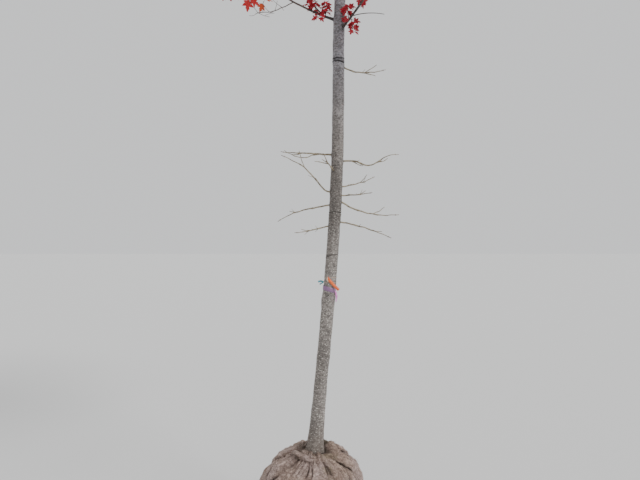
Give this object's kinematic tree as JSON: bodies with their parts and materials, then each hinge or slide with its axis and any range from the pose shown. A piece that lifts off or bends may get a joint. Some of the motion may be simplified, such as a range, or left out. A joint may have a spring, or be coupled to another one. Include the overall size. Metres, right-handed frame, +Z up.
{
  "type": "sapling with root ball",
  "caption": "Young deciduous nursery tree in red autumn leaf, with a slim leaning trunk, bare side twigs and marker ribbons, standing on its burlap-wrapped root ball.",
  "frame": {"origin": "middle of the flat underside of the root ball", "axes": "+Z up along the trunk, -Y towards the front of the tree, +X the way the trunk leans"},
  "size_m": [1.6574, 1.5861, 5.1933],
  "materials": {
    "burlap": "coarse woven jute, grey-brown and stained with soil, matte",
    "bark": "smooth grey-brown young bark with pale pores and dark ring scars",
    "twig_bark": "thin pale grey-tan bark",
    "autumn_leaf": "thin soft leaves, crimson to scarlet with some orange",
    "orange_marker": "thin orange plastic film",
    "lilac_marker": "thin lilac plastic film",
    "teal_marker": "thin teal plastic tie"
  },
  "bodies": {
    "root": {"root_ball": "burlap", "trunk": "bark", "bare_twig_01": "twig_bark", "bare_twig_02": "twig_bark", "bare_twig_03": "twig_bark", "bare_twig_04": "twig_bark", "bare_twig_05": "twig_bark", "bare_twig_06": "twig_bark", "bare_twig_07": "twig_bark", "bare_twig_08": "twig_bark", "bare_twig_09": "twig_bark", "bare_twig_10": "twig_bark", "bare_twig_11": "twig_bark", "bough_01": "bark", "bough_02": "bark", "bough_03": "bark", "bough_04": "bark", "bough_05": "bark", "bough_06": "bark", "bough_07": "bark", "bough_08": "bark", "bough_09": "bark", "bough_10": "bark", "bough_11": "bark", "bough_12": "bark", "bough_13": "bark", "bough_14": "bark", "foliage_01": "autumn_leaf", "foliage_02": "autumn_leaf", "foliage_03": "autumn_leaf", "foliage_04": "autumn_leaf", "foliage_05": "autumn_leaf", "foliage_06": "autumn_leaf", "foliage_07": "autumn_leaf", "foliage_08": "autumn_leaf", "foliage_09": "autumn_leaf", "foliage_10": "autumn_leaf", "foliage_11": "autumn_leaf", "foliage_12": "autumn_leaf", "foliage_13": "autumn_leaf", "foliage_14": "autumn_leaf", "foliage_top": "autumn_leaf", "marker_tag": "orange_marker", "marker_ribbon": "lilac_marker", "marker_tie": "teal_marker"}
  },
  "joints": []
}
